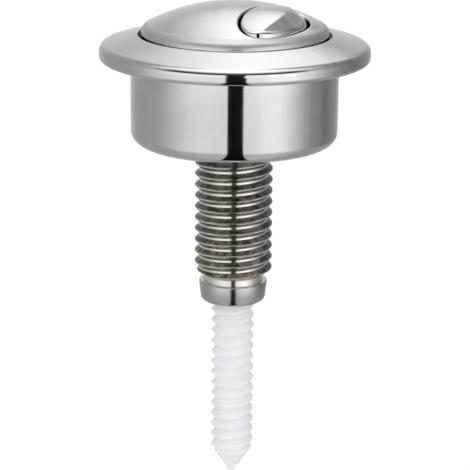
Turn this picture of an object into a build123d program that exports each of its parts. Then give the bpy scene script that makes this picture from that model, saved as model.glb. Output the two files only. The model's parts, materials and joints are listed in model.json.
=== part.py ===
from build123d import *

import os
from math import cos, radians, sin, sqrt, tan

# A dual flush push button for a hole in a cistern lid.
# Z is the button's axis, z = 0 is the flange's underside where it sits on the lid,
# and the small half-flush button lies on the +X side.

# Drawn cup, which passes through the lid
cup_d = 36.9
cup_wall = 0.8
cup_depth = 14.9
cup_corner = 2.2

# Flange ring, pressed over the stepped end of the cup
flange_overhang = 5.55
flange_rim_h = 2.63
flange_slope = 16.1
flange_top_round = 1.45
flange_low_round = 0.75
lip_under_z = 2.6
lip_overhang = 0.55
mouth_round = 0.25
press_step = 0.25
lead_in = 0.35
lead_gap = 0.12

# Fits between pieces
press_fit = 0.02
thread_fit = 0.03
slide_fit = 0.2
stop_gap = 0.15
guide_gap = 0.2
screw_fit = 0.1
spring_gap = 1.1
travel_gap = 0.7

# Travel of the two buttons
full_travel = 5.0
half_travel = 3.0

# Push rod with a conical end
rod_d = 7.9
rod_reach = 78.1
rod_cone_len = 5.2
rod_tip_d = 0.8
thread_pitch = 2.02
thread_depth = 0.82
thread_crest_w = 0.18
thread_root_w = 0.2
thread_clear = 0.06
thread_runout = 1.82
thread_start = 35.0

# Turned shank, bored through for the rod
shank_d = 14.0
rod_gap = 0.55
spigot_wall = 1.5
collar_step = 0.3
collar_t = 0.8
thread_len = 23.0
neck_wall = 0.95
neck_len = 0.35
nose_step = 0.75
nose_len = 3.8
nose_taper = 5.9
nose_top_round = 0.3
nose_round = 1.0

# Lock washer and thin nut that hold the shank in the cup
washer_t = 0.5
washer_teeth = 12
tooth_gap = 1.4
tooth_depth = 1.3
nut_flats = 17.0
nut_t = 2.2
nut_bevel = 0.6
spigot_proud = 0.2

# Large button: a dome on a skirt
dome_r = 33.25
dome_gap = 0.5
dome_proud = 1.07
dome_wall = 1.5
dome_edge_round = 1.8
skirt_wall = 1.5
rim_t = 1.4

# Small button: an oval pebble in the dome, its long axis turned off the tangent
dome_band = 2.08
oval_half_x = 4.9
oval_half_y = 8.42
oval_turn = 11.0
oval_gap = 0.45
collar_wall = 1.0
opening_round = 0.4
pebble_r = 22.5
pebble_in = 3.18
pebble_along = 2.21
pebble_drop = 0.15
pebble_round = 0.35
facet_r = 17.0
facet_slope = 33.4
facet_rise = 0.51
facet_len = 60.0

# Rod carrier under the small button
carrier_drop = 2.39
carrier_flange_t = 1.6
hub_d = 12.0
carrier_flange_lap = 1.3
arm_inset = 0.8
arm_w = 10.0
socket_roof = 0.8
socket_end_gap = 0.1

# Stop boss of the dome, which pushes on the carrier's hub
boss_x = -2.5
boss_d = 8.0

# Retaining plate under the skirt, and the posts for its screws
plate_t = 1.3
plate_hole_gap = 0.8
plate_screw_angles = (100.0, 180.0, 260.0)
post_d = 3.8
post_bite = 1.0

# Self-tapping screws
screw_d = 2.2
screw_head_d = 3.8
screw_head_t = 1.0
screw_head_bevel = 0.4
screw_point = 0.5
screw_slot_w = 0.6
screw_slot_depth = 0.45
plate_screw_len = 5.0
pebble_screw_y = 4.4
pebble_screw_len = 4.4
pilot_extra = 0.4

# Return springs of eight-sided wire
wire_sides = 8
large_wire_d = 0.8
large_turns = 4
small_wire_d = 0.6
small_turns = 3.5

# How far a cutting body runs past the piece that it cuts
over = 1.0

# Radii and heights of the housing
cup_r = cup_d / 2
cup_bore_r = cup_r - cup_wall
press_end_r = cup_r - press_step
seat_r = press_end_r + press_fit
flange_r = cup_r + flange_overhang
mouth_r = cup_bore_r - lip_overhang
mouth_edge_z = flange_rim_h + (flange_r - mouth_r) * tan(radians(flange_slope))
cup_bottom_z = -cup_depth
floor_z = cup_bottom_z + cup_wall

# Radii and heights of the shank and what holds it
shank_r = shank_d / 2
bore_r = rod_d / 2 + rod_gap
spigot_r = bore_r + spigot_wall
hole_r = spigot_r + thread_fit
collar_r = shank_r + collar_step
neck_r = bore_r + neck_wall
nose_r = neck_r + nose_step
nose_low_r = nose_r - nose_len * tan(radians(nose_taper))
collar_z = cup_bottom_z - collar_t
thread_end_z = collar_z - thread_len
runout_z = thread_end_z - (shank_r - neck_r)
nose_top_z = runout_z - neck_len
nose_bottom_z = nose_top_z - nose_len
nut_low_z = floor_z + washer_t
nut_top_z = nut_low_z + nut_t
spigot_top_z = nut_top_z + spigot_proud

# Radii and heights of the buttons and what they carry
dome_rim_r = mouth_r - dome_gap
dome_rim_z = mouth_edge_z + dome_proud
dome_z = dome_rim_z - sqrt(dome_r**2 - dome_rim_r**2)
dome_apex_z = dome_z + dome_r
rim_r = cup_bore_r - slide_fit
rim_top_z = lip_under_z - stop_gap
rim_low_z = rim_top_z - rim_t
skirt_bore_r = dome_rim_r - skirt_wall
plate_low_z = spigot_top_z + full_travel + travel_gap
plate_top_z = plate_low_z + plate_t
plate_screw_r = skirt_bore_r - post_d / 2 + post_bite
oval_x = dome_rim_r - dome_band - oval_half_x
pebble_apex_z = dome_apex_z - pebble_drop
facet_z = pebble_apex_z + facet_rise
carrier_top_z = dome_rim_z - carrier_drop
carrier_low_z = carrier_top_z - carrier_flange_t
hub_bottom_z = spigot_top_z + full_travel + half_travel + travel_gap
socket_top_z = carrier_top_z - socket_roof
rod_top_z = socket_top_z - socket_end_gap
rod_tip_z = -rod_reach
rod_cone_z = rod_tip_z + rod_cone_len
rod_thread_top_z = nose_bottom_z + full_travel + half_travel
large_spring_d = nut_flats / cos(radians(30)) + large_wire_d + 2 * spring_gap
small_spring_d = hub_d + small_wire_d + 2 * spring_gap
carrier_flange_r = (small_spring_d + small_wire_d) / 2 + carrier_flange_lap


def turned(points, rounds=()):
    """Solid of revolution about Z from a closed (r, z) outline, with named corners rounded."""
    outline = make_face(Polyline(*points, close=True))
    for r, z, radius in rounds:
        corner = outline.vertices().sort_by_distance((r, z))[0]
        outline = fillet(corner, radius)
    return revolve(Plane.XZ * outline, Axis.Z)


def rod_shape(radius, z_low, z_high, x=0.0, y=0.0):
    """Upright cylinder between two heights."""
    return Pos(x, y, (z_low + z_high) / 2) * Cylinder(radius, z_high - z_low)


def ball(radius):
    """Ball on the dome's own centre."""
    return Pos(0, 0, dome_z) * Sphere(radius)


def oval_at(across, along):
    """Plan position of a point given along the oval's short and long axes."""
    turn = radians(oval_turn)
    x = oval_x + across * cos(turn) - along * sin(turn)
    return x, across * sin(turn) + along * cos(turn)


def oval(grow, z_low, z_high):
    """Upright oval block on the small button's axis, grown or shrunk all round."""
    face = Rot(0, 0, oval_turn) * Ellipse(oval_half_x + grow, oval_half_y + grow)
    return extrude(Pos(oval_x, 0, z_low) * face, z_high - z_low)


def oval_rim(body, grow, above_z):
    """Edges of a body that run round the wall of the oval block, above a height."""
    found = []
    turn = radians(oval_turn)
    for edge in body.edges():
        middle = edge @ 0.5
        x = middle.X - oval_x
        across = (x * cos(turn) + middle.Y * sin(turn)) / (oval_half_x + grow)
        along = (middle.Y * cos(turn) - x * sin(turn)) / (oval_half_y + grow)
        on_wall = abs(across**2 + along**2 - 1) < 0.01
        if on_wall and middle.Z > above_z and edge.geom_type != GeomType.LINE:
            found.append(edge)
    return found


def polar(radius, angle):
    """Plan position at a radius and an angle in degrees."""
    return radius * cos(radians(angle)), radius * sin(radians(angle))


def screw(length, seat_z, x, y):
    """Pan-head screw pointing up, its head's bearing face at seat_z."""
    head_z = seat_z - screw_head_t
    head = rod_shape(screw_head_d / 2, head_z, seat_z, x, y)
    head = chamfer(head.edges().sort_by(Axis.Z)[0], screw_head_bevel)
    shaft = rod_shape(screw_d / 2, seat_z, seat_z + length, x, y)
    shaft = chamfer(shaft.edges().sort_by(Axis.Z)[-1], screw_point)
    slot = Pos(x, y, head_z) * Box(2 * screw_head_d, screw_slot_w, 2 * screw_slot_depth)
    return head + shaft - slot


def thread_space(crest_r, z_low, z_high):
    """Cutter for the rod's right-hand thread: the space between its turns, wound up the axis."""
    half_root = thread_root_w / 2
    half_mouth = (thread_pitch - thread_crest_w) / 2
    flank = (half_mouth - half_root) / thread_depth
    outer = thread_depth + thread_clear
    half_outer = half_mouth + thread_clear * flank
    corners = [(0, -half_root), (outer, -half_outer), (outer, half_outer), (0, half_root)]
    path = Helix(thread_pitch, z_high - z_low, crest_r - thread_depth)
    start = Plane(path @ 0, x_dir=(1, 0, 0), z_dir=(0, -1, 0))
    space = sweep(start * make_face(Polyline(*corners, close=True)), path, is_frenet=True)
    return Pos(0, 0, z_low) * Rot(0, 0, thread_start) * space


def spring(coil_d, wire_d, turns, z_low, z_high):
    """Compression spring that stands between two seats."""
    height = z_high - z_low - wire_d
    path = Helix(height / turns, height, coil_d / 2)
    section = Plane(path @ 0, z_dir=path % 0) * RegularPolygon(wire_d / 2, wire_sides)
    coil = sweep(section, path, is_frenet=True)
    return Pos(0, 0, z_low + wire_d / 2) * coil


# Flange ring: a conical top, a rounded rim, a lip over the large button and a lead-in for the cup
bezel = turned(
    [
        (cup_r + lead_gap, 0),
        (flange_r, 0),
        (flange_r, flange_rim_h),
        (mouth_r, mouth_edge_z),
        (mouth_r, lip_under_z),
        (seat_r, lip_under_z),
        (seat_r, lead_in),
    ],
    [
        (flange_r, 0, flange_low_round),
        (flange_r, flange_rim_h, flange_top_round),
        (mouth_r, mouth_edge_z, mouth_round),
    ],
)

# Drawn cup: a stepped end under the lip and a hole for the shank's spigot
cup = turned(
    [
        (hole_r, cup_bottom_z),
        (cup_r, cup_bottom_z),
        (cup_r, 0),
        (press_end_r, 0),
        (press_end_r, lip_under_z),
        (cup_bore_r, lip_under_z),
        (cup_bore_r, floor_z),
        (hole_r, floor_z),
    ],
    [
        (cup_r, cup_bottom_z, cup_corner),
        (cup_bore_r, floor_z, cup_corner - cup_wall),
    ],
)

# Shank: spigot, collar, threaded length, neck and tapered nose
shank = turned(
    [
        (bore_r, spigot_top_z),
        (spigot_r, spigot_top_z),
        (spigot_r, cup_bottom_z),
        (collar_r, cup_bottom_z),
        (collar_r, collar_z),
        (shank_r, collar_z),
        (shank_r, thread_end_z),
        (neck_r, runout_z),
        (neck_r, nose_top_z),
        (nose_r, nose_top_z),
        (nose_low_r, nose_bottom_z),
        (bore_r, nose_bottom_z),
    ],
    [
        (nose_r, nose_top_z, nose_top_round),
        (nose_low_r, nose_bottom_z, min(nose_round, nose_low_r - bore_r)),
    ],
)

# Toothed lock washer on the cup's floor
washer = rod_shape(nut_flats / 2, floor_z, nut_low_z)
washer -= rod_shape(hole_r, floor_z - over, nut_low_z + over)
for i in range(washer_teeth):
    notch = Pos(nut_flats / 2, 0, floor_z) * Box(2 * tooth_depth, tooth_gap, 4 * washer_t)
    washer -= Rot(0, 0, i * 360 / washer_teeth) * notch

# Thin hexagon nut on the spigot, its upper corners turned off
bevel_r = nut_flats / 2 - nut_bevel / 2
hexagon = RegularPolygon(nut_flats / 2, 6, major_radius=False)
nut = extrude(Pos(0, 0, nut_low_z) * hexagon, nut_t)
nut = nut & turned(
    [
        (0, nut_low_z),
        (bevel_r + 2 * nut_t, nut_low_z),
        (bevel_r, nut_top_z),
        (0, nut_top_z),
    ]
)
nut -= rod_shape(hole_r, nut_low_z - over, nut_top_z + over)

# Large button: dome, skirt and stop rim turned as one and hollowed
shell = turned(
    [
        (0, plate_top_z),
        (dome_rim_r, plate_top_z),
        (dome_rim_r, rim_low_z),
        (rim_r, rim_low_z),
        (rim_r, rim_top_z),
        (dome_rim_r, rim_top_z),
        (dome_rim_r, dome_apex_z),
        (0, dome_apex_z),
    ]
)
shell = shell & ball(dome_r)
circles = shell.edges().filter_by(GeomType.CIRCLE)
shell = fillet(circles.sort_by_distance((dome_rim_r, 0, dome_rim_z))[0], dome_edge_round)
hollow = rod_shape(skirt_bore_r, plate_top_z - over, dome_apex_z) & ball(dome_r - dome_wall)

# Large button: guide collar round the oval opening, stop boss and screw posts
fill = oval(collar_wall, carrier_top_z + guide_gap, dome_apex_z)
fill += rod_shape(boss_d / 2, carrier_top_z + stop_gap, dome_apex_z, boss_x)
for angle in plate_screw_angles:
    fill += rod_shape(post_d / 2, plate_top_z, dome_apex_z, *polar(plate_screw_r, angle))
large_button = shell - hollow + (fill & ball(dome_r - dome_wall / 2))
large_button -= oval(0, carrier_top_z, dome_apex_z + over)
large_button = fillet(oval_rim(large_button, 0, dome_rim_z), opening_round)
plate_pilot_z = plate_low_z + plate_screw_len + pilot_extra
for angle in plate_screw_angles:
    pilot_r = (screw_d + screw_fit) / 2
    large_button -= rod_shape(pilot_r, plate_top_z - over, plate_pilot_z, *polar(plate_screw_r, angle))

# Small button: an oval block under a ball-shaped top, with a curved facet on its outer side
small_button = oval(-oval_gap, carrier_top_z, pebble_apex_z + over)
crown = Pos(*oval_at(-pebble_in, pebble_along), pebble_apex_z - pebble_r) * Sphere(pebble_r)
facet_top = Pos(oval_x, 0, facet_z) * Rot(0, 0, oval_turn) * Rot(0, facet_slope, 0)
facet = facet_top * Pos(0, 0, -facet_r) * Rot(0, 90, 0) * Cylinder(facet_r, facet_len)
small_button = small_button & crown & facet
small_button = fillet(oval_rim(small_button, -oval_gap, carrier_top_z + over), pebble_round)
pebble_pilot_z = carrier_low_z + pebble_screw_len + pilot_extra
for side in (1, -1):
    pilot_r = (screw_d + screw_fit) / 2
    at = oval_at(0, side * pebble_screw_y)
    small_button -= rod_shape(pilot_r, carrier_top_z - over, pebble_pilot_z, *at)

# Rod carrier: hub with the rod's socket, spring flange and an arm under the small button
carrier = rod_shape(hub_d / 2, hub_bottom_z, carrier_top_z)
carrier += rod_shape(carrier_flange_r, carrier_low_z, carrier_top_z)
carrier += oval(-oval_gap - arm_inset, carrier_low_z, carrier_top_z)
arm_z = (carrier_low_z + carrier_top_z) / 2
carrier += Pos(oval_x / 2, 0, arm_z) * Box(oval_x, arm_w, carrier_flange_t)
carrier -= rod_shape(rod_d / 2 + thread_fit, hub_bottom_z - over, socket_top_z)
for side in (1, -1):
    at = oval_at(0, side * pebble_screw_y)
    carrier -= rod_shape(screw_d / 2 + screw_fit, carrier_low_z - over, carrier_top_z + over, *at)

# Retaining plate, which closes the large button from below and guides it in the cup
plate = rod_shape(rim_r, plate_low_z, plate_top_z)
plate -= rod_shape(hub_d / 2 + plate_hole_gap, plate_low_z - over, plate_top_z + over)
for angle in plate_screw_angles:
    x, y = polar(plate_screw_r, angle)
    plate -= rod_shape(screw_d / 2 + screw_fit, plate_low_z - over, plate_top_z + over, x, y)

# Screws of the plate and of the small button
plate_screws = []
for angle in plate_screw_angles:
    plate_screws.append(screw(plate_screw_len, plate_low_z, *polar(plate_screw_r, angle)))
pebble_screws = []
for side in (1, -1):
    pebble_screws.append(screw(pebble_screw_len, carrier_low_z, *oval_at(0, side * pebble_screw_y)))

# Push rod
rod = turned(
    [
        (0, rod_top_z),
        (rod_d / 2, rod_top_z),
        (rod_d / 2, rod_cone_z),
        (rod_tip_d / 2, rod_tip_z),
        (0, rod_tip_z),
    ]
)
rod -= thread_space(rod_d / 2, rod_cone_z - thread_runout, rod_thread_top_z)

# Springs: the large one lifts the whole button, the small one lifts the rod carrier in it
large_spring = spring(large_spring_d, large_wire_d, large_turns, floor_z, plate_low_z)
small_spring = spring(small_spring_d, small_wire_d, small_turns, plate_top_z, carrier_low_z)

nodes = {
    "bezel": bezel,
    "cup": cup,
    "shank": shank,
    "shank_washer": washer,
    "shank_nut": nut,
    "large_button": large_button,
    "retaining_plate": plate,
    "plate_screws": Compound(children=plate_screws),
    "small_button": small_button,
    "rod_carrier": carrier,
    "small_button_screws": Compound(children=pebble_screws),
    "push_rod": rod,
    "large_spring": large_spring,
    "small_spring": small_spring,
}
os.makedirs("parts", exist_ok=True)
for name, shape in nodes.items():
    export_step(shape, f"parts/{name}.step")
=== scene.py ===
# %% [markdown]
# # A dual flush button in chrome, nickel and nylon
# The button sits in a cistern's lid: its dome gives the full flush, and the oval in it the half flush.
# The imported CAD model is loaded as a fixed frame, and its chrome bezel, cup and dome stay as they are.
# This lesson adds what the frame leaves plain: the wound threads of the shank and the rod, the small
# button's polished form and two springs. It then mixes five finishes and paints
# the studio that the chrome reflects.
# Sizes are written in millimetres, as on a drawing, and `MM` turns them into Blender's metres.

# %% Load the frame
import bpy
import json
import math
from mathutils import Matrix, Vector


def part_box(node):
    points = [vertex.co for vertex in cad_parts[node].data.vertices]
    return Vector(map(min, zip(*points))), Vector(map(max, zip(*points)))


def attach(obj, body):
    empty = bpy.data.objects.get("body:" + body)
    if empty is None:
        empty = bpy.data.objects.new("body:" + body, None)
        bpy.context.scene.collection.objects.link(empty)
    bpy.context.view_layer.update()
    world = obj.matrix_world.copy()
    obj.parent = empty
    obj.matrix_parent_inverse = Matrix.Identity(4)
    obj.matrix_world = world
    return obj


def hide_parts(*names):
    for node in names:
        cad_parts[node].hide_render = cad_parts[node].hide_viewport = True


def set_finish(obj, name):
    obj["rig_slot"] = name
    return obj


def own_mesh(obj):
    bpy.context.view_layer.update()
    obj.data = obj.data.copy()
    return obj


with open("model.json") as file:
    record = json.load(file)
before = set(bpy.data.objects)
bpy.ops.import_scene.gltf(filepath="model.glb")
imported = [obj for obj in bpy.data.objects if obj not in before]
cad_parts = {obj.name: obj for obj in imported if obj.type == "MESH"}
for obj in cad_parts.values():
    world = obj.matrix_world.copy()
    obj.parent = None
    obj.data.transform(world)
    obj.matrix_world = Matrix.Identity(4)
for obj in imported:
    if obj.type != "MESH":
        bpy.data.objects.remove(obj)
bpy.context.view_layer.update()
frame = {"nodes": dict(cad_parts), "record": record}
MM = 0.001
print("nodes:", sorted(frame["nodes"]))

# %% [markdown]
# ## Small helpers
# Blender's operators act on whatever is selected, and the loaded frame comes in selected.
# So each step starts by clearing the selection, and edit mode is entered on one object only.
# By hand this would be clicking in the window; in a script it is a few lines that every step shares.

# %% Helpers for selecting and editing
def clear_selection():
    if bpy.context.object and bpy.context.object.mode != "OBJECT":
        bpy.ops.object.mode_set(mode="OBJECT")
    bpy.ops.object.select_all(action="DESELECT")


def take(piece):
    """Make a piece the only one that operators act on."""
    clear_selection()
    piece.select_set(True)
    bpy.context.view_layer.objects.active = piece


def edit(piece, kind="VERT", action="SELECT"):
    """Enter edit mode with all of a mesh selected, or none of it."""
    take(piece)
    bpy.ops.object.mode_set(mode="EDIT")
    bpy.ops.mesh.select_mode(type=kind)
    bpy.ops.mesh.select_all(action=action)


def done():
    bpy.ops.object.mode_set(mode="OBJECT")


def apply_modifier(piece, modifier):
    take(piece)
    bpy.ops.object.modifier_apply(modifier=modifier.name)


print("helpers ready")

# %% [markdown]
# ## A pen
# Most of this object is turned, so its pieces start as profiles.
# A profile could be a curve, but one vertex that is extruded from corner to corner, like a pen line,
# keeps every corner where the drawing has it. Corners are rounded by a vertex bevel while the line is
# still flat, because that is cleaner than a bevel on a finished ring.

# %% The pen
SAME_SPOT = 0.001 * MM


def pick_corner(line, r, z):
    """Select the one vertex of a profile at a radius and height in mm."""
    corner = Vector((r * MM, 0, z * MM))
    edit(line, action="DESELECT")
    done()
    for vertex in line.data.vertices:
        vertex.select = (vertex.co - corner).length < SAME_SPOT
    bpy.ops.object.mode_set(mode="EDIT")


def draw_profile(name, corners, rounds=()):
    """A line through (radius, height) corners in mm; rounds are (radius, height, width, segments)."""
    clear_selection()
    bpy.ops.mesh.primitive_plane_add(size=MM, location=(0, 0, 0))
    line = bpy.context.object
    line.name = name
    edit(line)
    bpy.ops.mesh.merge(type="CENTER")
    last_r, last_z = corners[0]
    bpy.ops.transform.translate(value=(last_r * MM, 0, last_z * MM))
    for r, z in corners[1:]:
        step = ((r - last_r) * MM, 0, (z - last_z) * MM)
        bpy.ops.mesh.extrude_region_move(TRANSFORM_OT_translate={"value": step})
        last_r, last_z = r, z
    done()
    for r, z, width, segments in rounds:
        pick_corner(line, r, z)
        bpy.ops.mesh.bevel(offset=width * MM, segments=segments, affect="VERTICES")
        done()
    return line


print("pen ready, corners closer than", SAME_SPOT / MM, "mm count as one")

# %% [markdown]
# ## A lathe
# A lathe turns a profile into a solid, and Blender's spin does the same with a line.
# It gives even quads, which bright metal needs: long thin triangles would make its reflections wobble.
# The first and the last step of the spin fall together, so the doubles are merged there, and the faces
# are then turned outwards.

# %% The lathe
def lathe(name, corners, steps, rounds=()):
    """A turned piece: its profile is drawn and spun once round Z."""
    piece = draw_profile(name, corners, rounds)
    edit(piece, "EDGE")
    bpy.ops.mesh.spin(steps=steps, angle=math.tau, center=(0, 0, 0), axis=(0, 0, 1))
    bpy.ops.mesh.select_all(action="SELECT")
    bpy.ops.mesh.remove_doubles(threshold=SAME_SPOT)
    bpy.ops.mesh.normals_make_consistent(inside=False)
    done()
    return piece


def smooth(piece, degrees):
    """Shade a piece smooth, but keep its creases sharper than an angle."""
    take(piece)
    bpy.ops.object.shade_smooth_by_angle(angle=math.radians(degrees))


print("lathe ready")

# %% [markdown]
# ## Winding a thread
# A thread is one ridge that climbs round a bar. Rings stacked up the bar would be easier, but they
# don't climb, and the outline would show the same teeth left and right.
# So one pitch of the outline is drawn, and the Screw modifier winds it up the axis: each turn starts
# where the last one ended, and the turns join into one ridge.
# The bar is wound too long and then cut square at both ends.

# %% Wind and trim
def ridge(crest_r, flank):
    """One pitch of a thread's outline, alike above and below its crest."""
    return [(r, -z) for r, z in reversed(flank)] + [(crest_r, 0.0)] + flank


def wind(name, outline, pitch, z_low, turns, steps):
    """A threaded bar: one pitch of outline wound round Z."""
    bar = draw_profile(name, [(r, z + z_low) for r, z in outline])
    screw = bar.modifiers.new("winding", "SCREW")
    screw.axis = "Z"
    screw.angle = math.tau
    screw.screw_offset = pitch * MM
    screw.iterations = turns
    screw.steps = steps
    screw.render_steps = steps
    screw.use_merge_vertices = True
    screw.merge_threshold = SAME_SPOT
    apply_modifier(bar, screw)
    edit(bar)
    bpy.ops.mesh.remove_doubles(threshold=SAME_SPOT)
    bpy.ops.mesh.normals_make_consistent(inside=False)
    done()
    return bar


def trim(bar, z_low, z_high):
    """Cut a bar square at two heights and cap it there."""
    for z, keep_above in ((z_low, True), (z_high, False)):
        edit(bar, "FACE")
        bpy.ops.mesh.bisect(
            plane_co=(0, 0, z * MM),
            plane_no=(0, 0, 1),
            use_fill=True,
            clear_inner=keep_above,
            clear_outer=not keep_above,
        )
        bpy.ops.mesh.select_all(action="SELECT")
        bpy.ops.mesh.fill_holes(sides=0)
        done()


print("winder ready")

# %% [markdown]
# ## Thread on the shank
# The shank carries a coarse right-hand thread of 2 mm pitch. Its crest is narrow and rounded, and its
# straight root catches the light as a second bright line under each crest.
# The photograph's right lies 45.5 degrees round from the small button, and its left opposite. The height
# of one crest was measured at the shank's left outline. That fixes where the winding starts, so that
# every tooth falls where the real one is.

# %% Wind the shank
PHOTO_RIGHT = 45.5
PHOTO_LEFT = PHOTO_RIGHT + 180
SHANK_PITCH = 2.04
SHANK_CREST_R = 7.02
SHANK_ROOT_R = 6.18
SHANK_CREST_Z = -20.8
SHANK_TURNS_BELOW = 10
SHANK_TURNS = 16
SHANK_STEPS = 96
SHANK_CUTS_Z = (-40.83, -15.47)
shank_flank = [
    (SHANK_CREST_R - 0.04, 0.11),
    (SHANK_CREST_R - 0.15, 0.22),
    (SHANK_ROOT_R + 0.06, 0.78),
    (SHANK_ROOT_R, 0.86),
    (SHANK_ROOT_R, SHANK_PITCH / 2),
]
shank_ridge = ridge(SHANK_CREST_R, shank_flank)
shank_start = SHANK_CREST_Z - SHANK_PITCH * (PHOTO_LEFT / 360 + SHANK_TURNS_BELOW)
shank = wind("shank_turned", shank_ridge, SHANK_PITCH, shank_start, SHANK_TURNS, SHANK_STEPS)
trim(shank, *SHANK_CUTS_Z)
print("wound shank:", len(shank.data.polygons), "faces")

# %% [markdown]
# ## Ends of the shank
# On the real shank the thread runs out into a neck, with a tapered nose below it. Above it are a collar
# under the cup and a spigot through the cup's floor, and the rod passes through a bore.
# Blender could join such shapes by bridging edges, but a thread's cut end has no even rim to bridge.
# So a turned envelope trims the run-out, turned ends are joined on by Boolean modifiers, and the bore
# is cut last. The shank is then one closed solid.

# %% Join and cut
def combine(piece, tool, operation):
    """Join, cut or trim a piece by another, which is used up."""
    step = piece.modifiers.new(operation.lower(), "BOOLEAN")
    step.operation = operation
    step.solver = "EXACT"
    step.object = tool
    apply_modifier(piece, step)
    bpy.data.objects.remove(tool)


def clean_up(piece):
    """Merge the crumbs that a cut leaves, close pinholes and turn all faces outwards."""
    edit(piece)
    bpy.ops.mesh.remove_doubles(threshold=2 * SAME_SPOT)
    bpy.ops.mesh.dissolve_degenerate(threshold=2 * SAME_SPOT)
    bpy.ops.mesh.select_all(action="SELECT")
    bpy.ops.mesh.fill_holes(sides=0)
    bpy.ops.mesh.select_all(action="SELECT")
    bpy.ops.mesh.normals_make_consistent(inside=False)
    done()


print("joining and cutting ready")

# %% [markdown]
# The nose is a plain tapered ring below the neck, which leads a nut onto the thread.
# Its core reaches a little way up inside the neck, so that the two solids overlap: faces that only
# touch can leave gaps when they are joined.

# %% Trim the run-out and add the nose
NOSE_LOW_R = 5.807
NOSE_LOW_Z = -44.4
NOSE_LOW_ROUND = 0.9
NOSE_TOP_R = 6.2
NOSE_TOP_Z = -40.6
NOSE_TOP_ROUND = 0.3
NOSE_CORE_R = 5.1
NOSE_CORE_Z = -40.1
NECK_R = 5.45
NECK_LOW_Z = -41.5
NECK_TOP_Z = -39.5
RUN_OUT_Z = -38.1
COLLAR_R = 7.3
ENVELOPE_TOP_Z = -15
envelope = lathe("envelope", [
    (0, NECK_LOW_Z),
    (NECK_R, NECK_LOW_Z),
    (NECK_R, NECK_TOP_Z),
    (COLLAR_R, RUN_OUT_Z),
    (COLLAR_R, ENVELOPE_TOP_Z),
    (0, ENVELOPE_TOP_Z),
], SHANK_STEPS)
combine(shank, envelope, "INTERSECT")
nose = lathe("nose", [
    (0, NOSE_LOW_Z),
    (NOSE_LOW_R, NOSE_LOW_Z),
    (NOSE_TOP_R, NOSE_TOP_Z),
    (NOSE_CORE_R, NOSE_TOP_Z),
    (NOSE_CORE_R, NOSE_CORE_Z),
    (0, NOSE_CORE_Z),
], SHANK_STEPS, [
    (NOSE_LOW_R, NOSE_LOW_Z, NOSE_LOW_ROUND, 6),
    (NOSE_TOP_R, NOSE_TOP_Z, NOSE_TOP_ROUND, 4),
])
combine(shank, nose, "UNION")
print("shank with nose:", len(shank.data.polygons), "faces")

# %% [markdown]
# The collar sits against the cup's floor from below, and the spigot above it goes through and takes a
# nut. Under the collar a cone is sunk into the thread, again so that the solids overlap.
# The bore is cut through everything at once, from past one end to past the other.

# %% Add the collar and cut the bore
COLLAR_LOW_Z = -15.7
COLLAR_TOP_Z = -14.9
COLLAR_ROUND = 0.2
COLLAR_FOOT_R = 7.0
COLLAR_CORE_R = 5.8
COLLAR_CORE_Z = -16.2
SPIGOT_R = 6
SPIGOT_TOP_Z = -11.2
BORE_R = 4.5
BORE_ENDS_Z = (-46, -10)
collar = lathe("collar", [
    (0, COLLAR_CORE_Z),
    (COLLAR_CORE_R, COLLAR_CORE_Z),
    (COLLAR_FOOT_R, COLLAR_LOW_Z),
    (COLLAR_R, COLLAR_LOW_Z),
    (COLLAR_R, COLLAR_TOP_Z),
    (SPIGOT_R, COLLAR_TOP_Z),
    (SPIGOT_R, SPIGOT_TOP_Z),
    (0, SPIGOT_TOP_Z),
], SHANK_STEPS, [(COLLAR_R, COLLAR_LOW_Z, COLLAR_ROUND, 3)])
combine(shank, collar, "UNION")
bore_low, bore_high = BORE_ENDS_Z
bore = lathe("bore", [(0, bore_low), (BORE_R, bore_low), (BORE_R, bore_high), (0, bore_high)], SHANK_STEPS)
combine(shank, bore, "DIFFERENCE")
clean_up(shank)
smooth(shank, degrees=35)
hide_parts("shank")
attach(shank, "housing")
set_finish(shank, "nickel")
print("shank:", len(shank.data.polygons), "faces")

# %% [markdown]
# ## Push rod
# The rod is moulded in nylon with a sharper thread and a blunt cone at its end, and it is screwed up or
# down to reach the valve. It is wound like the shank, from a crest measured at its left outline.

# %% Wind the rod
ROD_PITCH = 2.02
ROD_CREST_R = 3.92
ROD_ROOT_R = 3.1
ROD_CREST_Z = -46.38
ROD_TURNS_BELOW = 17
ROD_TURNS = 44
ROD_STEPS = 64
ROD_CUTS_Z = (-80.0, 3.57)
rod_flank = [(ROD_CREST_R - 0.06, 0.1), (ROD_ROOT_R, 0.88), (ROD_ROOT_R, ROD_PITCH / 2)]
rod_start = ROD_CREST_Z - ROD_PITCH * (PHOTO_LEFT / 360 + ROD_TURNS_BELOW)
rod = wind("rod_threaded", ridge(ROD_CREST_R, rod_flank), ROD_PITCH, rod_start, ROD_TURNS, ROD_STEPS)
trim(rod, *ROD_CUTS_Z)
print("wound rod:", len(rod.data.polygons), "faces")

# %% [markdown]
# The tip could be made by tapering the last turns, but one turned envelope gives the cone and both
# ends at once. Where its cone meets the thread, the last turns fade out as on a moulded tip.

# %% Point the rod
TIP_R = 0.4
TIP_Z = -78.1
TIP_ROUND = 0.3
CONE_ROOT_Z = -74.0
CONE_TOP_R = 4.6
CONE_TOP_Z = -72.3
ROD_TOP_Z = 2.4
point = lathe("point", [
    (0, TIP_Z),
    (TIP_R, TIP_Z),
    (ROD_ROOT_R, CONE_ROOT_Z),
    (CONE_TOP_R, CONE_TOP_Z),
    (CONE_TOP_R, ROD_TOP_Z),
    (0, ROD_TOP_Z),
], ROD_STEPS, [(TIP_R, TIP_Z, TIP_ROUND, 3)])
combine(rod, point, "INTERSECT")
clean_up(rod)
smooth(rod, degrees=35)
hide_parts("push_rod")
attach(rod, "small_button")
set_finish(rod, "nylon")
print("rod:", len(rod.data.polygons), "faces")

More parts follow.
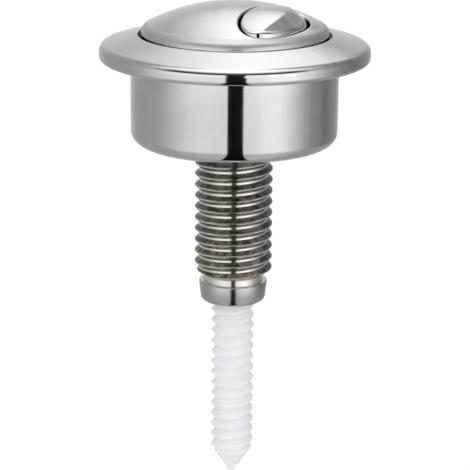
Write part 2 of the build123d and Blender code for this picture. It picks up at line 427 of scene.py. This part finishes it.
# %% [markdown]
# ## Small button
# The small button is one pebble of chrome: a ball-shaped crown with a sloping facet for the finger
# on its outer side. Polishing has rounded its rim and softened the crease at its far end.
# A bevel can't fade along an edge, so the pebble is made as a relief instead. A height is worked out
# for each place in the oval, as the lower of crown and facet, less what the rim's round takes off.
# Places are measured in mm across and along the oval, from its middle.

# %% The pebble's crown and facet
HALF_ACROSS = 4.45
HALF_ALONG = 7.97
CROWN_R = 22.5
CROWN_TOP = 9.98
CROWN_ACROSS = -3.18
CROWN_ALONG = 2.21
FACET_R = 17.0
FACET_TOP = 10.49
FACET_SLOPE = math.radians(33.4)
FACET_EXTRA_SLOPE = 0.19
CREASE_ACROSS = 2.2
CREASE_ALONG = -3.5
CREASE_BEND = 0.033
FADE_NEAR = (-7.5, -4.5)
FADE_FAR = (5.5, 2.0)


def ease(value, start, end):
    """0 at the start, 1 at the end, smooth between."""
    part = min(max((value - start) / (end - start), 0.0), 1.0)
    return part * part * (3 - 2 * part)


def crown_height(across, along):
    """A ball whose top lies inwards of the oval's middle."""
    out = (across - CROWN_ACROSS)**2 + (along - CROWN_ALONG)**2
    return CROWN_TOP - CROWN_R + math.sqrt(CROWN_R**2 - out)


def facet_height(across, along):
    """A barrel-shaped slope, a little steeper beside the crease's middle."""
    sag = math.sqrt(FACET_R**2 - along**2) - FACET_R
    slope = FACET_TOP + sag / math.cos(FACET_SLOPE) - across * math.tan(FACET_SLOPE)
    from_crease = across - CREASE_ACROSS + CREASE_BEND * (along - CREASE_ALONG)**2
    return slope - FACET_EXTRA_SLOPE * from_crease * ease(along, *FADE_FAR) * ease(along, *FADE_NEAR)


print("crown at the middle:", round(crown_height(0, 0), 2), "mm")
print("facet at the middle:", round(facet_height(0, 0), 2), "mm")

# %% [markdown]
# Where crown and facet meet, the crease is blended over a small height, more so at its far end.
# The rim's round follows the distance to the oval's edge, and it too is larger at the far end, where
# the polishing wheel took off more.

# %% The pebble's soft crease and round rim
CREASE_SHARP = 0.15
CREASE_SOFT = 0.65
SOFTENS_ALONG = (0.5, 4.0)
RIM_ROUND = 0.35
RIM_ROUND_FAR = 0.75
RIM_ZONE = 0.3
FAR_ALONG = (0.0, 6.0)
FAR_ACROSS = (-3.5, -0.5)


def rim_drop(across, along):
    """How far the rim's round lies below the top."""
    out = math.hypot(across / HALF_ACROSS, along / HALF_ALONG)
    steep = math.hypot(across / HALF_ACROSS**2, along / HALF_ALONG**2)
    to_rim = (1 - min(out, 1.0)) * out / max(steep, 1e-9)
    far = ease(along, *FAR_ALONG) * ease(across, *FAR_ACROSS)
    rim_round = RIM_ROUND + (RIM_ROUND_FAR - RIM_ROUND) * far
    if out < RIM_ZONE or to_rim > rim_round:
        return 0.0
    return rim_round - math.sqrt(rim_round**2 - (rim_round - to_rim)**2)


def pebble_height(across, along):
    """Height of the pebble's top: the lower of crown and facet, blended at the crease."""
    crown = crown_height(across, along)
    facet = facet_height(across, along)
    soft = CREASE_SHARP + (CREASE_SOFT - CREASE_SHARP) * ease(along, *SOFTENS_ALONG)
    near = max(soft - abs(crown - facet), 0.0)
    return min(crown, facet) - near * near / (4 * soft) - rim_drop(across, along)


print("pebble at its far rim:", round(pebble_height(0, HALF_ALONG), 2), "mm")

# %% [markdown]
# A flat disc of fine rings is spun, and its rings crowd towards the rim, where the round needs them.
# It is stretched to the oval, and each of its points is lifted to its height.

# %% Lift the pebble
RINGS = 80
CROWDING = 1.7
PEBBLE_STEPS = 288
spoke = [(1 - (1 - ring / RINGS)**CROWDING, 0) for ring in range(RINGS + 1)]
pebble = lathe("small_button_pebble", spoke, PEBBLE_STEPS)
edit(pebble)
bpy.ops.transform.resize(value=(HALF_ACROSS, HALF_ALONG, 1), center_override=(0, 0, 0))
done()
for vertex in pebble.data.vertices:
    vertex.co.z = pebble_height(vertex.co.x / MM, vertex.co.y / MM) * MM
pebble_top = max(vertex.co.z for vertex in pebble.data.vertices)
print("pebble:", len(pebble.data.polygons), "faces, top at", round(pebble_top / MM, 2), "mm")

# %% [markdown]
# The disc so far is only the top. It is turned and moved to its place in the dome, and its outermost
# ring is extruded down and flattened where the rod carrier starts, which makes the wall and the base.

# %% Close the pebble
OVAL_X = 9.62
OVAL_TURN = math.radians(11)
pebble.rotation_euler.z = OVAL_TURN
pebble.location = (OVAL_X * MM, 0, 0)
take(pebble)
bpy.ops.object.transform_apply(location=True, rotation=True, scale=True)
pebble_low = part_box("small_button")[0][2]
edit(pebble, "EDGE", "DESELECT")
bpy.ops.mesh.select_non_manifold()
bpy.ops.mesh.extrude_region_move(TRANSFORM_OT_translate={"value": (0, 0, -MM)})
bpy.ops.transform.resize(value=(1, 1, 0), center_override=(0, 0, pebble_low))
bpy.ops.mesh.edge_face_add()
bpy.ops.mesh.select_all(action="SELECT")
bpy.ops.mesh.normals_make_consistent(inside=False)
done()
print("pebble closed, its base at", round(pebble_low / MM, 2), "mm")

# %% [markdown]
# Two screws hold the rod carrier to the small button from below. Their holes are turned like the other
# pieces, moved along the oval's long axis and cut out by a Boolean, which keeps their rims round.

# %% Cut its screw holes
HOLE_R = 1.15
HOLE_LOW_Z = 2.5
HOLE_TOP_Z = 6.5
HOLE_STEPS = 32
HOLES_ALONG = (-4.4, 4.4)
hole_profile = [(0, HOLE_LOW_Z), (HOLE_R, HOLE_LOW_Z), (HOLE_R, HOLE_TOP_Z), (0, HOLE_TOP_Z)]
for along in HOLES_ALONG:
    hole = lathe("screw_hole", hole_profile, HOLE_STEPS)
    hole_x = OVAL_X - along * math.sin(OVAL_TURN)
    hole_y = along * math.cos(OVAL_TURN)
    edit(hole)
    bpy.ops.transform.translate(value=(hole_x * MM, hole_y * MM, 0))
    done()
    combine(pebble, hole, "DIFFERENCE")
smooth(pebble, degrees=50)
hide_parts("small_button")
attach(pebble, "small_button")
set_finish(pebble, "chrome")
print("pebble with holes:", len(pebble.data.polygons), "faces")

# %% [markdown]
# ## Return springs
# Two steel springs lift the buttons, hidden inside the cup. A spring could be a curve with a round
# section, but the Screw modifier that wound the threads winds wire just as well: the wire's section
# is drawn once and carried up the coil.

# %% Wind a spring
WIRE_SIDES = 16
STEPS_A_TURN = 64


def wind_spring(node, wire_r, turns):
    """A coil of wire in a node's place, with its ends closed."""
    low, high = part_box(node)
    coil_r = high[0] - wire_r
    clear_selection()
    bpy.ops.mesh.primitive_circle_add(
        vertices=WIRE_SIDES,
        radius=wire_r,
        location=(coil_r, 0, low[2] + wire_r),
        rotation=(math.pi / 2, 0, 0),
    )
    coil = bpy.context.object
    coil.name = node + "_wound"
    bpy.ops.object.transform_apply(location=True, rotation=True, scale=True)
    screw = coil.modifiers.new("winding", "SCREW")
    screw.axis = "Z"
    screw.angle = math.tau * turns
    screw.screw_offset = high[2] - low[2] - 2 * wire_r
    screw.steps = round(STEPS_A_TURN * turns)
    screw.render_steps = screw.steps
    apply_modifier(coil, screw)
    edit(coil)
    bpy.ops.mesh.remove_doubles(threshold=SAME_SPOT / 10)
    bpy.ops.mesh.fill_holes(sides=0)
    bpy.ops.mesh.select_all(action="SELECT")
    bpy.ops.mesh.normals_make_consistent(inside=False)
    done()
    smooth(coil, degrees=50)
    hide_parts(node)
    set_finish(coil, "steel")
    return coil


print("spring winder ready")

# %% [markdown]
# The large spring stands on the cup's floor and lifts the whole button. The small one stands on the
# retaining plate and lifts the rod carrier. A pressed button squeezes its spring; here each spring only
# gets a mesh of its own.

# %% Wind both springs
LARGE_WIRE_R = 0.4 * MM
LARGE_TURNS = 4
SMALL_WIRE_R = 0.3 * MM
SMALL_TURNS = 3.5


def squeeze(coil):
    """Give a spring a mesh of its own."""
    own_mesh(coil)


large_coil = wind_spring("large_spring", LARGE_WIRE_R, LARGE_TURNS)
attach(large_coil, "housing")
squeeze(large_coil)
small_coil = wind_spring("small_spring", SMALL_WIRE_R, SMALL_TURNS)
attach(small_coil, "large_button")
squeeze(small_coil)

# %% [markdown]
# ## Mixing finishes
# Each finish is a small node tree on one Principled shader. A picture of metal would be quicker, but it
# would need unwrapping and show its seams, while a pattern worked out from the place has neither.
# Patterns read Object coordinates, so they sit still on a piece when it moves. Values that are the same
# all over are set on the shader itself.

# %% Helpers for nodes
def new_finish(name, **sockets):
    material = bpy.data.materials.new(name)
    material.use_nodes = True
    tree = material.node_tree
    shader = tree.nodes["Principled BSDF"]
    for socket, value in sockets.items():
        shader.inputs[socket.replace("_", " ")].default_value = value
    return material, tree, shader


def add(tree, kind, inputs=None, **settings):
    """Add a node, set its properties, and set or link its inputs."""
    node = tree.nodes.new(kind)
    for key, value in settings.items():
        setattr(node, key, value)
    for key, value in (inputs or {}).items():
        if isinstance(value, bpy.types.NodeSocket):
            tree.links.new(value, node.inputs[key])
        else:
            node.inputs[key].default_value = value
    return node


def maths(tree, operation, a, b=0.0):
    return add(tree, "ShaderNodeMath", {0: a, 1: b}, operation=operation).outputs[0]


def between(tree, value, low, high):
    """0 at low, 1 at high, straight between."""
    node = add(tree, "ShaderNodeMapRange", {"Value": value, "From Min": low, "From Max": high})
    return node.outputs["Result"]


def ramp(tree, factor, stops):
    """Shades or colours by (position, shade) stops."""
    node = add(tree, "ShaderNodeValToRGB", {0: factor})
    points = node.color_ramp.elements
    while len(points) < len(stops):
        points.new(0.5)
    for point, (position, colour) in zip(points, stops):
        point.position = position
        point.color = (*colour, 1) if isinstance(colour, tuple) else (colour, colour, colour, 1)
    return node.outputs["Color"]


print("node helpers ready")

# %% [markdown]
# Three patterns serve every finish: a noise at the piece's own place, a drift of the colour between two
# shades, and a bump. Real skins are uneven by less than a tenth of a millimetre, which the bump's
# distance stands for.

# %% Helpers for patterns
FINE = 0.1 * MM


def place(tree):
    return add(tree, "ShaderNodeTexCoord").outputs["Object"]


def noise(tree, scale, detail):
    node = add(tree, "ShaderNodeTexNoise", {"Vector": place(tree), "Scale": scale, "Detail": detail})
    return node.outputs["Fac"]


def tint(tree, shader, factor, dark, pale):
    """Let the colour drift between two shades."""
    tree.links.new(ramp(tree, factor, [(0.3, dark), (0.7, pale)]), shader.inputs["Base Color"])


def bump(tree, shader, height, strength):
    node = add(tree, "ShaderNodeBump", {"Height": height, "Strength": strength, "Distance": FINE})
    tree.links.new(node.outputs["Normal"], shader.inputs["Normal"])


print("pattern helpers ready")

# %% [markdown]
# ### Chrome
# Plated parts are polished and then plated, so they keep a faint unevenness under a bright skin.
# A perfect mirror would look drawn rather than made. So a slow noise lifts and drops the roughness a
# little, and another gives the skin a trace of ripple. The colour is chromium's own: darker than silver
# and a little blue.
# The dome's edge is brushed rather than polished, so the roughness rises in a ring there.

# %% Chrome
BRUSHED_ROUGHER = 0.34
BRUSHED_FROM_R = (14.9 * MM, 15.6 * MM)
BRUSHED_TO_R = (16.75 * MM, 16.7 * MM)
BRUSHED_ABOVE_Z = (4.6 * MM, 4.8 * MM)
chrome, tree, shader = new_finish("chrome_plate", Metallic=1.0)
haze = noise(tree, scale=160.0, detail=4.0)
tint(tree, shader, haze, (0.585, 0.585, 0.605), (0.64, 0.64, 0.66))
flat_place = add(tree, "ShaderNodeVectorMath", {0: place(tree), 1: (1, 1, 0)}, operation="MULTIPLY")
distance = add(tree, "ShaderNodeVectorMath", {0: flat_place.outputs[0]}, operation="LENGTH")
from_axis = distance.outputs["Value"]
height = add(tree, "ShaderNodeSeparateXYZ", {0: place(tree)}).outputs["Z"]
outside = between(tree, from_axis, *BRUSHED_FROM_R)
inside = between(tree, from_axis, *BRUSHED_TO_R)
ring = maths(tree, "MULTIPLY", outside, inside)
ring = maths(tree, "MULTIPLY", ring, between(tree, height, *BRUSHED_ABOVE_Z))
polish = ramp(tree, haze, [(0.35, 0.045), (0.7, 0.085)])
rough = maths(tree, "ADD", polish, maths(tree, "MULTIPLY", ring, BRUSHED_ROUGHER))
tree.links.new(rough, shader.inputs["Roughness"])
ripple = noise(tree, scale=90.0, detail=1.0)
bump(tree, shader, ripple, strength=0.04)
print("chrome:", len(tree.nodes), "nodes")

# %% [markdown]
# ### Nickel
# The shank is plated in bright nickel, warmer and duller than the chrome. Its thread's flanks carry
# painted shade, most on the upper ones: a dark colour that stands for the dark those flanks mirror,
# while the crests and roots keep the bright nickel. The nose, the neck and the collar have no thread
# and get no painted shade.
# The shade could be painted on the mesh, but the thread itself tells where it lies: by the place within
# one pitch, which is the height less the climb of the thread round the axis.

# %% The place within one pitch
nickel, tree, shader = new_finish("bright_nickel", Metallic=1.0)
x, y, z = add(tree, "ShaderNodeSeparateXYZ", {0: place(tree)}).outputs
turns_round = maths(tree, "DIVIDE", maths(tree, "ARCTAN2", y, x), math.tau)
turns_up = maths(tree, "DIVIDE", maths(tree, "SUBTRACT", z, shank_start * MM), SHANK_PITCH * MM)
phase = maths(tree, "FRACT", maths(tree, "SUBTRACT", turns_up, turns_round))
print("thread followed from", round(shank_start, 2), "mm")

# %% [markdown]
# The ramp runs through one pitch, from a crest up to the root and on to the next crest, and says how
# much painted shade lies there. The painted shade makes the metal darker, the same flanks are made
# rougher, and a fine grain breaks it up.

# %% Nickel and its painted flank shade
# How much painted shade lies on the upper and the lower flanks.
UPPER_FLANK_SHADE = 1.0
LOWER_FLANK_SHADE = 0.55
FLANK_ROUGHER = 0.12
GRAIN_TO_ROUGH = (-0.6, 6.4)
SHADE_FROM_Z = (-38.9 * MM, -38.5 * MM)
SHADE_TO_Z = (-15.7 * MM, -15.9 * MM)
NOSE_TO_Z = (-40.65 * MM, -40.55 * MM)
threaded = maths(tree, "MULTIPLY", between(tree, z, *SHADE_FROM_Z), between(tree, z, *SHADE_TO_Z))
# Painted shade: the flanks get a darker colour for the dark that they mirror, most on the upper ones.
flanks = ramp(tree, phase, [
    (0.03, 0.0),
    (0.11, UPPER_FLANK_SHADE),
    (0.37, UPPER_FLANK_SHADE),
    (0.43, 0.0),
    (0.57, 0.0),
    (0.63, LOWER_FLANK_SHADE),
    (0.88, LOWER_FLANK_SHADE),
    (0.95, 0.0),
])
painted_flank_shade = maths(tree, "MULTIPLY", flanks, threaded)
grain = noise(tree, scale=900.0, detail=4.0)
above_nose = between(tree, z, *NOSE_TO_Z)
plain_nickel = ramp(tree, above_nose, [(0.0, (0.53, 0.525, 0.515)), (1.0, (0.78, 0.76, 0.74))])
# The painted shade's dark colour, broken up by the grain.
flank_shade_colour = ramp(tree, grain, [(0.38, (0.085, 0.077, 0.068)), (0.62, (0.27, 0.25, 0.225))])
coat = add(tree, "ShaderNodeMix", {0: painted_flank_shade, 6: plain_nickel, 7: flank_shade_colour}, data_type="RGBA")
tree.links.new(coat.outputs[2], shader.inputs["Base Color"])
bare = between(tree, grain, *GRAIN_TO_ROUGH)
rough = maths(tree, "ADD", bare, maths(tree, "MULTIPLY", painted_flank_shade, FLANK_ROUGHER))
tree.links.new(rough, shader.inputs["Roughness"])
bump(tree, shader, grain, strength=0.08)
print("nickel:", len(tree.nodes), "nodes")

# %% [markdown]
# ### Nylon
# Natural nylon lets light in and scatters it, which softens the rod's thread from inside.
# A white paint would show every ridge hard. Subsurface scattering, over a few millimetres, gives the
# milky look, and a slow cloud of two near whites keeps it from looking like paper.

# %% Nylon
SCATTER = 4 * MM
nylon, tree, shader = new_finish(
    "natural_nylon", Roughness=0.45, Subsurface_Weight=1.0, Subsurface_Scale=SCATTER, IOR=1.53)
shader.inputs["Subsurface Radius"].default_value = (1.0, 1.0, 1.0)
cloud = noise(tree, scale=250.0, detail=3.0)
tint(tree, shader, cloud, (0.86, 0.855, 0.89), (0.90, 0.895, 0.92))
bump(tree, shader, cloud, strength=0.05)
print("nylon:", len(tree.nodes), "nodes")

# %% [markdown]
# ### Acetal and steel
# The retaining plate and the rod carrier are moulded in opaque acetal, with the dull, faintly grained
# skin that a mould leaves. The springs, the screws and the toothed washer are drawn or stamped steel,
# never polished, so both the colour and the roughness wander.
# Both hide inside the cup, so one noise each is enough.

# %% Acetal and steel
acetal, tree, shader = new_finish("moulded_acetal", IOR=1.48)
speck = noise(tree, scale=900.0, detail=2.0)
tint(tree, shader, speck, (0.80, 0.80, 0.77), (0.86, 0.86, 0.84))
tree.links.new(ramp(tree, speck, [(0.3, 0.38), (0.7, 0.5)]), shader.inputs["Roughness"])
bump(tree, shader, speck, strength=0.1)
print("acetal:", len(tree.nodes), "nodes")
steel, tree, shader = new_finish("drawn_steel", Metallic=1.0)
streak = noise(tree, scale=700.0, detail=4.0)
tint(tree, shader, streak, (0.42, 0.42, 0.43), (0.56, 0.56, 0.56))
tree.links.new(ramp(tree, streak, [(0.3, 0.25), (0.7, 0.4)]), shader.inputs["Roughness"])
print("steel:", len(tree.nodes), "nodes")

# %% [markdown]
# ## Giving each piece its finish
# The record says which material each node is made of. Finishes could be set by hand, node by node, but
# reading the record keeps the picture and the CAD model in step. The pieces made here carry a slot of
# their own, and get the finish of the same name.

# %% Give every piece its finish
finish_of = {"chrome": chrome, "nickel": nickel, "nylon": nylon, "acetal": acetal, "steel": steel}
slot_of = {part["node"]: part["material_slot"] for part in frame["record"]["subparts"]}
for name, node in frame["nodes"].items():
    node.data.materials.clear()
    node.data.materials.append(finish_of[slot_of[name]])
for piece in (shank, rod, pebble, large_coil, small_coil):
    piece.data.materials.clear()
    piece.data.materials.append(finish_of[piece["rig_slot"]])
print({name: slot_of[name] for name in sorted(slot_of)})

# %% [markdown]
# ## Camera
# The photograph was taken with a long lens from a little above. A camera could be moved until the
# picture looks right, but a place, a lens and a slight roll worked out from the object's round edges
# are closer, and they leave nothing to taste.

# %% Camera
TURN = math.radians(PHOTO_RIGHT)
TILT = math.radians(16.128)
ROLL = math.radians(0.507)
CAMERA_PLACE = (0.303, -356.46, 70.69)
SENSOR = 36.0
LENS = 157.02


def from_photo(x, y, z):
    """A place or direction given to the photograph's right, away and up, in this frame."""
    return Vector((x * math.cos(TURN) - y * math.sin(TURN), x * math.sin(TURN) + y * math.cos(TURN), z))


clear_selection()
bpy.ops.object.camera_add(location=from_photo(*[c * MM for c in CAMERA_PLACE]))
camera = bpy.context.object
away = from_photo(0, math.cos(TILT), -math.sin(TILT))
up = from_photo(0, math.sin(TILT), math.cos(TILT))
right = away.cross(up)
side = right * math.cos(ROLL) + up * math.sin(ROLL)
over = up * math.cos(ROLL) - right * math.sin(ROLL)
camera.rotation_euler = Matrix((side, over, -away)).transposed().to_euler()
camera.data.sensor_width = SENSOR
camera.data.lens = LENS
camera.data.clip_start = 10 * MM
camera.data.dof.use_dof = False
bpy.context.scene.camera = camera
print("camera at", [round(c / MM, 1) for c in camera.location], "mm")

# %% [markdown]
# ## Studio
# Chrome shows its surroundings and little else, so the studio is the picture.
# Soft boxes could be glowing planes, but each would have to be placed and tried. Painting them into
# the world is quicker to tune: a direction has an azimuth from the camera, positive to its right, and
# an elevation, both in degrees, and the steps below work out how bright it is.

# %% Directions
DEGREES = math.degrees(1)
world = bpy.data.worlds.new("studio")
bpy.context.scene.world = world
world.use_nodes = True
sky = world.node_tree
sky.nodes.clear()


def times(a, b):
    return maths(sky, "MULTIPLY", a, b)


def plus(a, b):
    return maths(sky, "ADD", a, b)


def step_up(value, low, high):
    """0 below low, 1 above high, smooth between."""
    limits = {"Value": value, "From Min": low, "From Max": high}
    return add(sky, "ShaderNodeMapRange", limits, interpolation_type="SMOOTHSTEP").outputs["Result"]


def blend(factor, a, b):
    """a where factor is 0, b where it is 1."""
    return plus(times(a, maths(sky, "SUBTRACT", 1.0, factor)), times(b, factor))


look = add(sky, "ShaderNodeTexCoord").outputs["Generated"]
turned = add(sky, "ShaderNodeVectorRotate", {"Vector": look, "Angle": -TURN}, rotation_type="Z_AXIS")
to_right, to_rear, upward = add(sky, "ShaderNodeSeparateXYZ", {0: turned.outputs[0]}).outputs
to_front = times(to_rear, -1.0)
azimuth = times(maths(sky, "ARCTAN2", to_right, to_front), DEGREES)
elevation = times(maths(sky, "ARCSINE", upward), DEGREES)
from_front = maths(sky, "ABSOLUTE", azimuth)
print("directions:", len(sky.nodes), "nodes")

# %% [markdown]
# Two large soft boxes stand left and right of the camera, the right one brighter, and the walls at the
# sides and behind are grey. The list gives their light round the object, and a smooth ramp joins it.
# In front the boxes are brighter above the height that the cup's wall mirrors, and the ground below
# them is duller.

# %% Soft boxes and walls
AROUND = [
    (-180, 0.74), (-145, 0.50), (-115, 0.45), (-85, 0.56), (-55, 0.92), (-38, 1.05), (0, 1.03), (22, 1.08),
    (36, 1.25), (52, 1.22), (82, 0.58), (110, 0.28), (130, 0.28), (157, 0.44), (180, 0.74),
]
BRIGHTEST = max(light for angle, light in AROUND)
FRONT_ENDS = (55.0, 85.0)
LIFT = 0.25
LIFT_FROM = (-13.0, -10.4)
GROUND_BELOW = (17.0, 32.0)
GROUND_SHARE = 0.25
GROUND_LIGHT = 0.36
turn_share = maths(sky, "DIVIDE", plus(azimuth, 180.0), 360.0)
around = ramp(sky, turn_share, [((angle + 180) / 360, light / BRIGHTEST) for angle, light in AROUND])
around.node.color_ramp.interpolation = "CARDINAL"
level = times(around, BRIGHTEST)
front = maths(sky, "SUBTRACT", 1.0, step_up(from_front, *FRONT_ENDS))
lift = times(times(step_up(elevation, *LIFT_FROM), front), LIFT)
level = times(level, plus(lift, 1.0))
ground = step_up(times(elevation, -1.0), *GROUND_BELOW)
level = blend(ground, level, plus(times(level, GROUND_SHARE), GROUND_LIGHT))
print("light round the object:", len(AROUND), "places, brightest", BRIGHTEST)

# %% [markdown]
# The boxes don't meet. The dark gap between them is the black strip down the middle of the cup and the
# shank. It is an upright slit, so it is measured sideways, whatever the height.
# Above the boxes lies a dark band, which draws the dark line along the flange's edge, and high up at
# the right rear a glow brightens what faces that way.

# %% Gap, band and glow
GAP_MIDDLE = math.tan(math.radians(1.2))
GAP_EDGE = (0.132, 0.160)
GAP_LIGHT = 0.01
BAND_FROM = (17.0, 24.0)
BAND_LIGHT = 0.08
GLOW_ABOVE = (30.0, 48.0)
GLOW_RIGHT_OF = (80.0, 110.0)
GLOW_LIGHT = 0.19
off_middle = maths(sky, "ABSOLUTE", maths(sky, "SUBTRACT", to_right, times(to_front, GAP_MIDDLE)))
behind = maths(sky, "LESS_THAN", to_front, 0.0)
beside_gap = maths(sky, "MAXIMUM", step_up(off_middle, *GAP_EDGE), behind)
level = times(level, plus(times(beside_gap, 1.0 - GAP_LIGHT), GAP_LIGHT))
band = times(step_up(elevation, *BAND_FROM), front)
level = blend(band, level, BAND_LIGHT)
glow = times(step_up(elevation, *GLOW_ABOVE), step_up(azimuth, *GLOW_RIGHT_OF))
level = plus(level, times(glow, GLOW_LIGHT))
print("gap", round(2 * math.degrees(math.asin(GAP_EDGE[0])), 1), "degrees wide")

# %% [markdown]
# The ceiling is a bright diffuser. In front it starts above the dark band. Behind, it is one panel whose
# edges are drawn on a flat plane overhead, so that they run straight, and the dome and the flange
# mirror it as a soft sheen.

# %% Ceiling
CEILING_LIGHT = 1.65
CEILING_FROM = (36.0, 64.0)
OVERHEAD = (66.0, 80.0)
PANEL_FAR_EDGE = (-2.5, -0.55)
PANEL_LEFT_EDGE = (-0.65, 0.12)
PANEL_RIGHT_END = (135.0, 171.0)
PANEL_LOW_EDGE = (5.0, 12.0)
REAR_FROM = (85.0, 115.0)
LEAST_RISE = 0.05
rise = maths(sky, "MAXIMUM", upward, LEAST_RISE)
panel = times(
    step_up(maths(sky, "DIVIDE", to_front, rise), *PANEL_FAR_EDGE),
    step_up(maths(sky, "DIVIDE", to_right, rise), *PANEL_LEFT_EDGE),
)
full_azimuth = plus(azimuth, times(maths(sky, "LESS_THAN", azimuth, 0.0), 360.0))
panel = times(panel, step_up(full_azimuth, *PANEL_RIGHT_END))
panel = times(panel, step_up(elevation, *PANEL_LOW_EDGE))
panel = maths(sky, "MAXIMUM", panel, step_up(elevation, *OVERHEAD))
rear = step_up(from_front, *REAR_FROM)
ceiling = blend(rear, step_up(elevation, *CEILING_FROM), panel)
level = blend(ceiling, level, CEILING_LIGHT)
print("ceiling light:", CEILING_LIGHT)

# %% [markdown]
# The camera itself sees plain white behind the object, as in the photograph. Light paths tell its rays
# from those that the chrome sends out.

# %% Backdrop
seen = add(sky, "ShaderNodeLightPath").outputs["Is Camera Ray"]
level = blend(seen, level, 1.0)
backdrop = add(sky, "ShaderNodeBackground", {"Strength": level, "Color": (1, 1, 1, 1)})
add(sky, "ShaderNodeOutputWorld", {"Surface": backdrop.outputs[0]})
print("studio:", len(sky.nodes), "nodes")

# %% [markdown]
# ## Lamps
# The nylon rod is lit by scattered light, which the painted studio gives too little of down there.
# Two large area lamps stand where the soft boxes are, so its shading agrees with the chrome.
# Mirror rays don't see them, because the chrome already shows the painted soft boxes.

# %% Lamps
LAMP_SIDEWAYS = 260
LAMP_AWAY = -380
LAMP_Z = -60
LAMP_SIZE = 350
LAMP_WATTS = 0.31
LIT_SPOT = Vector((0, 0, -50 * MM))
for name, x in (("soft_box_left", -LAMP_SIDEWAYS), ("soft_box_right", LAMP_SIDEWAYS)):
    clear_selection()
    stand = from_photo(x * MM, LAMP_AWAY * MM, LAMP_Z * MM)
    bpy.ops.object.light_add(type="AREA", location=stand)
    lamp = bpy.context.object
    lamp.name = name
    lamp.rotation_euler = (LIT_SPOT - stand).to_track_quat("-Z", "Y").to_euler()
    lamp.data.size = LAMP_SIZE * MM
    lamp.data.energy = LAMP_WATTS
    lamp.visible_glossy = False
    lamp.visible_camera = False
    print(name, LAMP_WATTS, "W")

# %% [markdown]
# ## Floor
# A plain pale sheet lies below the rod's point, wide enough to fill the view. A white floor renders
# grey unless it is overlit, so the sheet also glows a little for the camera alone, which keeps it white
# with a faint shadow. It is hidden from mirror rays, so that the chrome keeps the soft boxes, which
# reach below it.

# %% Floor
FLOOR_Z = -120
FLOOR_R = 3000
FLOOR_SIDES = 96
FLOOR_GLOW = 0.22
clear_selection()
bpy.ops.mesh.primitive_circle_add(
    vertices=FLOOR_SIDES,
    radius=FLOOR_R * MM,
    fill_type="NGON",
    location=(0, 0, 0),
)
floor = bpy.context.object
floor.name = "floor"
edit(floor)
bpy.ops.transform.translate(value=(0, 0, FLOOR_Z * MM))
done()
paper, tree, shader = new_finish("pale_paper", Base_Color=(0.92, 0.92, 0.92, 1), Roughness=0.9)
shader.inputs["Emission Color"].default_value = (1, 1, 1, 1)
seen = add(tree, "ShaderNodeLightPath").outputs["Is Camera Ray"]
tree.links.new(maths(tree, "MULTIPLY", seen, FLOOR_GLOW), shader.inputs["Emission Strength"])
floor.data.materials.append(paper)
floor.visible_glossy = False
bpy.context.scene.view_settings.view_transform = "Standard"
print("floor at", FLOOR_Z, "mm")
